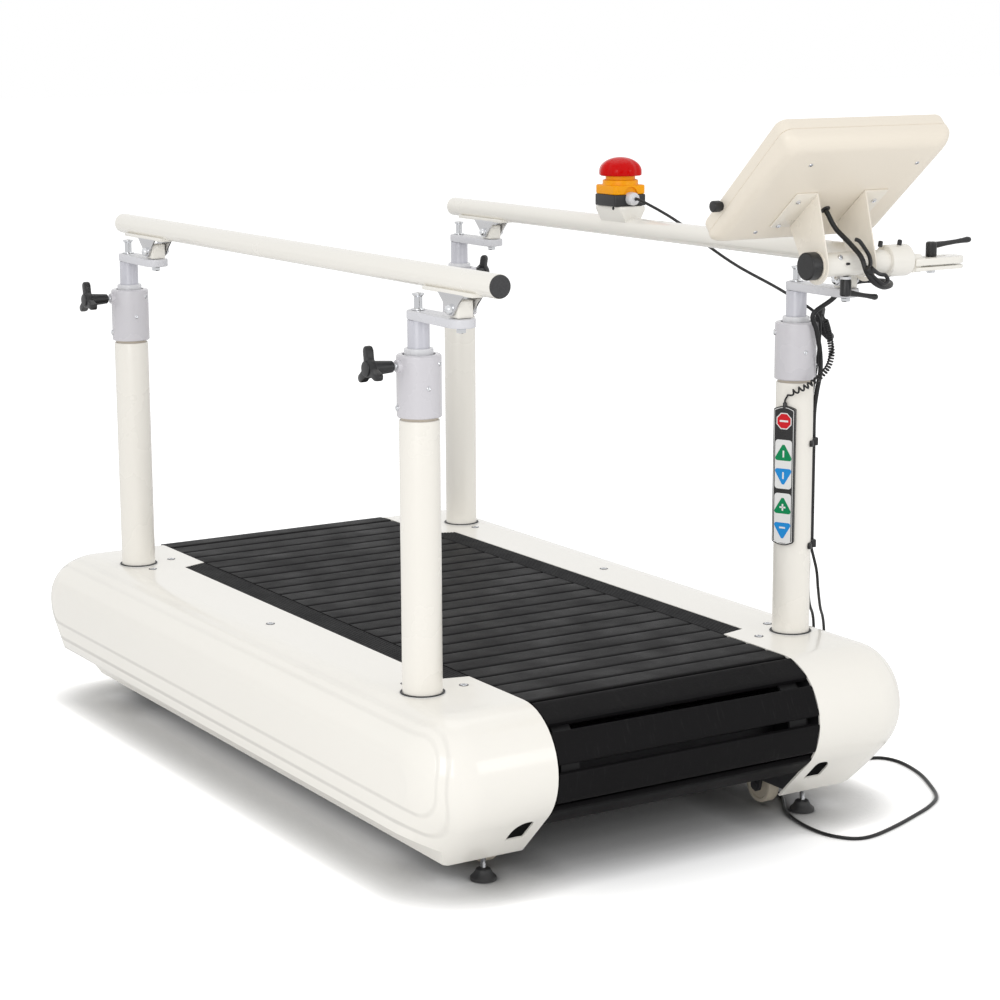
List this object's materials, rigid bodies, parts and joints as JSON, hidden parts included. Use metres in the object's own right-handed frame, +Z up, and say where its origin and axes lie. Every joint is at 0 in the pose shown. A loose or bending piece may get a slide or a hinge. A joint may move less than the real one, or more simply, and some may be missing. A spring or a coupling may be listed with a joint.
{
  "type": "treadmill ergometer",
  "caption": "Slat-belt treadmill ergometer with cream side covers, posts carrying adjustable hand rails, a tilting display, a push-button stop and a keypad.",
  "frame": {"origin": "centre of the underside of the machine's box, cords left out, on the floor", "axes": "+Z up, +Y towards the open end of the belt, -Y towards the end with the display, +X to the side with the display"},
  "size_m": [1.2194, 1.7724, 1.2866],
  "materials": {
    "cover_cream": "smooth glossy cream moulding",
    "post_cream": "cream powder coat",
    "rail_cream": "cream powder coat",
    "grey_paint": "light grey satin powder coat",
    "steel": "turned steel",
    "frame_paint": "dark satin paint",
    "slat_rubber": "matt charcoal rubber",
    "black_plastic": "satin black moulding",
    "black_rubber": "matt black rubber",
    "wheel_beige": "matt beige polymer",
    "stop_yellow": "yellow-orange moulding",
    "stop_red": "glossy red moulding",
    "display_cream": "smooth cream moulding",
    "bracket_cream": "cream powder coat",
    "cable_black": "black cable sheath"
  },
  "bodies": {
    "base": {"side_frame_left": "frame_paint", "side_frame_right": "frame_paint", "side_cover_left": "cover_cream", "side_cover_right": "cover_cream", "tread_strip_left": "black_rubber", "tread_strip_right": "black_rubber", "crossmember_front": "frame_paint", "crossmember_rear": "frame_paint", "slat_belt": "slat_rubber", "drive_motor": "frame_paint", "drive_belt": "black_rubber", "post_front_left": "post_cream", "post_front_right": "post_cream", "post_rear_left": "post_cream", "post_rear_right": "post_cream", "collar_front_left": "grey_paint", "collar_front_right": "grey_paint", "collar_rear_left": "grey_paint", "collar_rear_right": "grey_paint", "keypad_panel": "black_plastic", "display_cable": "cable_black", "estop_cable": "cable_black", "floor_cord": "cable_black", "keypad_cord": "cable_black"},
    "front_drum": {"front_drum": "steel"},
    "rear_drum": {"rear_drum": "steel"},
    "motor_pulley": {"motor_pulley": "steel"},
    "tube_front_left": {"inner_tube_front_left": "grey_paint"},
    "link_front_left": {"link_front_left": "grey_paint"},
    "knob_front_left": {"clamp_knob_front_left": "black_plastic"},
    "foot_front_left": {"foot_front_left": "black_rubber"},
    "tube_rear_left": {"inner_tube_rear_left": "grey_paint"},
    "link_rear_left": {"link_rear_left": "grey_paint"},
    "knob_rear_left": {"clamp_knob_rear_left": "black_plastic"},
    "foot_rear_left": {"foot_rear_left": "black_rubber"},
    "tube_front_right": {"inner_tube_front_right": "grey_paint"},
    "link_front_right": {"link_front_right": "grey_paint"},
    "knob_front_right": {"clamp_knob_front_right": "black_plastic"},
    "foot_front_right": {"foot_front_right": "black_rubber"},
    "tube_rear_right": {"inner_tube_rear_right": "grey_paint"},
    "link_rear_right": {"link_rear_right": "grey_paint"},
    "knob_rear_right": {"clamp_knob_rear_right": "black_plastic"},
    "foot_rear_right": {"foot_rear_right": "black_rubber"},
    "rail_left": {"handrail_left": "rail_cream", "rail_plug_left": "black_plastic"},
    "rail_right": {"handrail_right": "rail_cream", "estop_enclosure": "black_plastic", "estop_lid": "stop_yellow", "crossbar": "bracket_cream", "crossbar_cap": "black_plastic", "side_arm": "bracket_cream"},
    "stop_button": {"estop_button": "stop_red"},
    "tilt_lever": {"tilt_lever": "black_plastic"},
    "arm_lever": {"arm_lever": "black_plastic"},
    "display": {"display_bracket": "bracket_cream", "display_shell": "display_cream", "display_front": "display_cream"},
    "wheel_left": {"transport_wheel_left": "wheel_beige"},
    "wheel_right": {"transport_wheel_right": "wheel_beige"}
  },
  "joints": [
    {"name": "front_drum_spin", "type": "hinge", "parent": "base", "child": "front_drum", "pos_m": [-0.0525, -0.70677, 0.205], "axis": [1, 0, 0], "continuous": true},
    {"name": "rear_drum_spin", "type": "hinge", "parent": "base", "child": "rear_drum", "pos_m": [-0.0525, 0.77323, 0.205], "axis": [1, 0, 0], "continuous": true},
    {"name": "motor_pulley_spin", "type": "hinge", "parent": "base", "child": "motor_pulley", "pos_m": [0.2065, -0.46677, 0.205], "axis": [1, 0, 0], "continuous": true},
    {"name": "height_rear_left", "type": "slide", "parent": "base", "child": "tube_rear_left", "axis": [0, 0, 1], "range_m": [-0.025, 0.2]},
    {"name": "link_swing_rear_left", "type": "hinge", "parent": "tube_rear_left", "child": "link_rear_left", "pos_m": [-0.4535, 0.64023, 0.969], "axis": [0, 0, 1], "range_deg": [-60, 60]},
    {"name": "height_front_left", "type": "slide", "parent": "base", "child": "tube_front_left", "axis": [0, 0, 1], "range_m": [-0.025, 0.2]},
    {"name": "link_swing_front_left", "type": "hinge", "parent": "tube_front_left", "child": "link_front_left", "pos_m": [-0.4535, -0.57377, 0.969], "axis": [0, 0, 1], "range_deg": [-60, 60]},
    {"name": "rail_turn_left", "type": "hinge", "parent": "link_rear_left", "child": "rail_left", "pos_m": [-0.4535, 0.50023, 0.99], "axis": [0, 0, 1], "range_deg": [-60, 60]},
    {"name": "height_rear_right", "type": "slide", "parent": "base", "child": "tube_rear_right", "axis": [0, 0, 1], "range_m": [-0.025, 0.2], "deforming": ["display_cable", "estop_cable"]},
    {"name": "link_swing_rear_right", "type": "hinge", "parent": "tube_rear_right", "child": "link_rear_right", "pos_m": [0.3485, 0.64023, 0.969], "axis": [0, 0, 1], "range_deg": [-60, 60], "deforming": ["display_cable", "estop_cable"]},
    {"name": "height_front_right", "type": "slide", "parent": "base", "child": "tube_front_right", "axis": [0, 0, 1], "range_m": [-0.025, 0.2]},
    {"name": "link_swing_front_right", "type": "hinge", "parent": "tube_front_right", "child": "link_front_right", "pos_m": [0.3485, -0.57377, 0.969], "axis": [0, 0, 1], "range_deg": [-60, 60]},
    {"name": "rail_turn_right", "type": "hinge", "parent": "link_rear_right", "child": "rail_right", "pos_m": [0.3485, 0.50023, 0.99], "axis": [0, 0, 1], "range_deg": [-60, 60], "deforming": ["display_cable", "estop_cable"]},
    {"name": "knob_turn_front_left", "type": "hinge", "parent": "base", "child": "knob_front_left", "pos_m": [-0.4535, -0.57377, 0.885], "axis": [-1, 0, 0], "continuous": true},
    {"name": "foot_turn_front_left", "type": "hinge", "parent": "base", "child": "foot_front_left", "pos_m": [-0.4005, -0.68427, 0.03], "axis": [0, 0, 1], "continuous": true},
    {"name": "knob_turn_front_right", "type": "hinge", "parent": "base", "child": "knob_front_right", "pos_m": [0.3485, -0.57377, 0.885], "axis": [0.9063, 0.4226, 0], "continuous": true},
    {"name": "foot_turn_front_right", "type": "hinge", "parent": "base", "child": "foot_front_right", "pos_m": [0.2955, -0.68427, 0.03], "axis": [0, 0, 1], "continuous": true},
    {"name": "knob_turn_rear_left", "type": "hinge", "parent": "base", "child": "knob_rear_left", "pos_m": [-0.4535, 0.64023, 0.885], "axis": [-1, 0, 0], "continuous": true},
    {"name": "foot_turn_rear_left", "type": "hinge", "parent": "base", "child": "foot_rear_left", "pos_m": [-0.4005, 0.75073, 0.03], "axis": [0, 0, 1], "continuous": true},
    {"name": "knob_turn_rear_right", "type": "hinge", "parent": "base", "child": "knob_rear_right", "pos_m": [0.3485, 0.64023, 0.885], "axis": [0.9063, 0.4226, 0], "continuous": true},
    {"name": "foot_turn_rear_right", "type": "hinge", "parent": "base", "child": "foot_rear_right", "pos_m": [0.2955, 0.75073, 0.03], "axis": [0, 0, 1], "continuous": true},
    {"name": "wheel_roll_left", "type": "hinge", "parent": "base", "child": "wheel_left", "pos_m": [-0.36, -0.61677, 0.0425], "axis": [1, 0, 0], "continuous": true},
    {"name": "wheel_roll_right", "type": "hinge", "parent": "base", "child": "wheel_right", "pos_m": [0.255, -0.61677, 0.0425], "axis": [1, 0, 0], "continuous": true},
    {"name": "stop_press", "type": "slide", "parent": "rail_right", "child": "stop_button", "axis": [0, 0, -1], "range_m": [0, 0.006]},
    {"name": "tilt_lever_turn", "type": "hinge", "parent": "rail_right", "child": "tilt_lever", "pos_m": [0.2845, -0.79077, 1], "axis": [0, 0, 1], "range_deg": [-60, 15]},
    {"name": "arm_lever_turn", "type": "hinge", "parent": "rail_right", "child": "arm_lever", "pos_m": [0.4795, -0.79077, 1.03], "axis": [0, 0, 1], "range_deg": [-60, 90]},
    {"name": "display_tilt", "type": "hinge", "parent": "rail_right", "child": "display", "pos_m": [0.2585, -0.79077, 1.03], "axis": [1, 0, 0], "range_deg": [0, 30], "deforming": ["display_cable"]}
  ],
  "couplings": [
    {"joint": "rear_drum_spin", "follows": "front_drum_spin", "ratio": 1},
    {"joint": "motor_pulley_spin", "follows": "front_drum_spin", "ratio": 2.3333},
    {"joint": "height_front_left", "follows": "height_rear_left", "ratio": 1},
    {"joint": "link_swing_front_left", "follows": "link_swing_rear_left", "ratio": 1},
    {"joint": "rail_turn_left", "follows": "link_swing_rear_left", "ratio": -1},
    {"joint": "height_front_right", "follows": "height_rear_right", "ratio": 1},
    {"joint": "link_swing_front_right", "follows": "link_swing_rear_right", "ratio": 1},
    {"joint": "rail_turn_right", "follows": "link_swing_rear_right", "ratio": -1}
  ]
}
